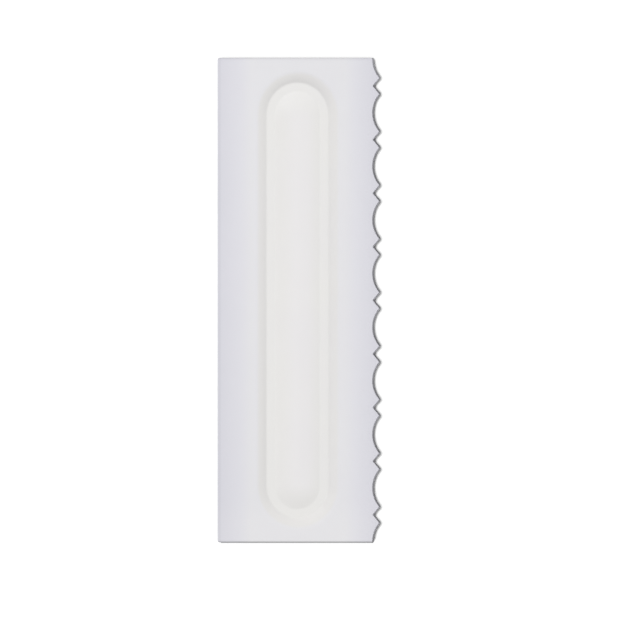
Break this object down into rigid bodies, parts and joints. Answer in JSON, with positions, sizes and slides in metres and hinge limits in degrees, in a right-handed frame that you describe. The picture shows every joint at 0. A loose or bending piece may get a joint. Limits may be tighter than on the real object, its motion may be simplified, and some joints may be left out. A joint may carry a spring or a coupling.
{
  "type": "cake scraper",
  "caption": "Flat moulded cake scraper with one plain long edge, one long edge of scallops and V notches, and a long dished grip raised on both faces.",
  "frame": {"origin": "centre of the bounding box in X and Y, on the plane that the back rim of the grip rests on", "axes": "+X from the plain edge to the toothed edge, +Y along the blade's length, +Z out of the front face"},
  "size_m": [0.079, 0.226, 0.0056],
  "materials": {
    "plastic": "smooth satin white injection-moulded plastic, slightly milky"
  },
  "bodies": {
    "root": {"scraper": "plastic"}
  },
  "joints": []
}
